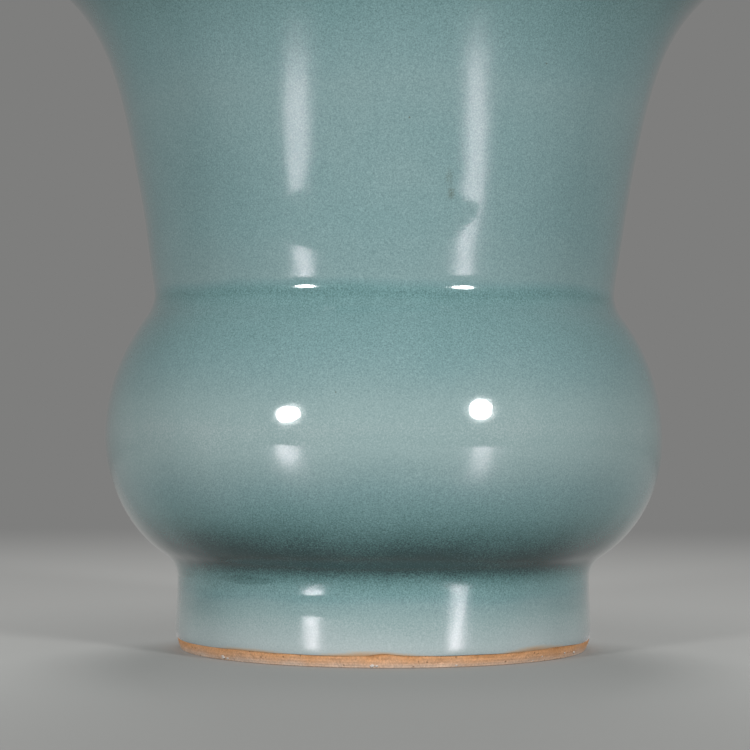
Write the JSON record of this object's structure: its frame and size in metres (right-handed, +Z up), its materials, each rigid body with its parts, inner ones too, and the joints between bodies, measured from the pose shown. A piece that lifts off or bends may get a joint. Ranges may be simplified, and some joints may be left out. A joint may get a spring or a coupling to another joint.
{
  "type": "celadon leys jar",
  "caption": "Wide-mouthed stoneware leys jar (zhadou) with a flared neck, round belly and plain foot ring, under an even blue-green celadon glaze wiped bare at the foot.",
  "frame": {"origin": "centre of the foot ring's resting face", "axes": "+Z up along the axis the jar was turned about; X and Y are free, because the jar is round"},
  "size_m": [0.2188, 0.2188, 0.2123],
  "materials": {
    "stoneware": "fired clay under the glaze, matt",
    "bare_foot": "bare clay burnt orange-brown in the kiln, matt",
    "slip": "fine pale slip in the seams, matt",
    "celadon": "thick blue-green glaze, glossy"
  },
  "bodies": {
    "root": {"neck_section": "stoneware", "belly_section": "stoneware", "foot_ring": "bare_foot", "waist_slip_joint": "slip", "foot_slip_joint": "slip", "outer_glaze": "celadon", "inner_glaze": "celadon", "base_glaze": "celadon"}
  },
  "joints": []
}
